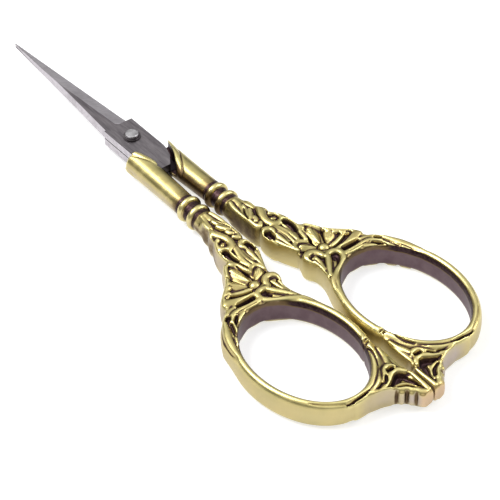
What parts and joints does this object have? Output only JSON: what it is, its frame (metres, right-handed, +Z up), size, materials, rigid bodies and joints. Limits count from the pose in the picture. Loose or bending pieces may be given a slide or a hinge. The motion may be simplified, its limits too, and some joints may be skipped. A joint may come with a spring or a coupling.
{
  "type": "embroidery scissors",
  "caption": "Small right-handed embroidery scissors with fine tapering blades on a rivet and ornate cast handles with oval finger bows.",
  "frame": {"origin": "on the surface that the closed scissors lie on, under the middle of their length and width", "axes": "+Y to the blade tips, +Z up out of the surface along the rivet, +X to the right handle"},
  "size_m": [0.0446, 0.125, 0.0052],
  "materials": {
    "blade": "ground and satin polished",
    "handle": "antique brass plating with dark patina in the carving",
    "rivet": "polished"
  },
  "bodies": {
    "right_half": {"right_handle": "handle", "rear_blade": "blade", "pivot_rivet": "rivet", "head_washer": "rivet", "tail_washer": "rivet"},
    "left_half": {"left_handle": "handle", "front_blade": "blade"}
  },
  "joints": [
    {"name": "pivot", "type": "hinge", "parent": "right_half", "child": "left_half", "pos_m": [0, 0.0223, 0.0026], "axis": [0, 0, -1], "range_deg": [0, 70]}
  ]
}
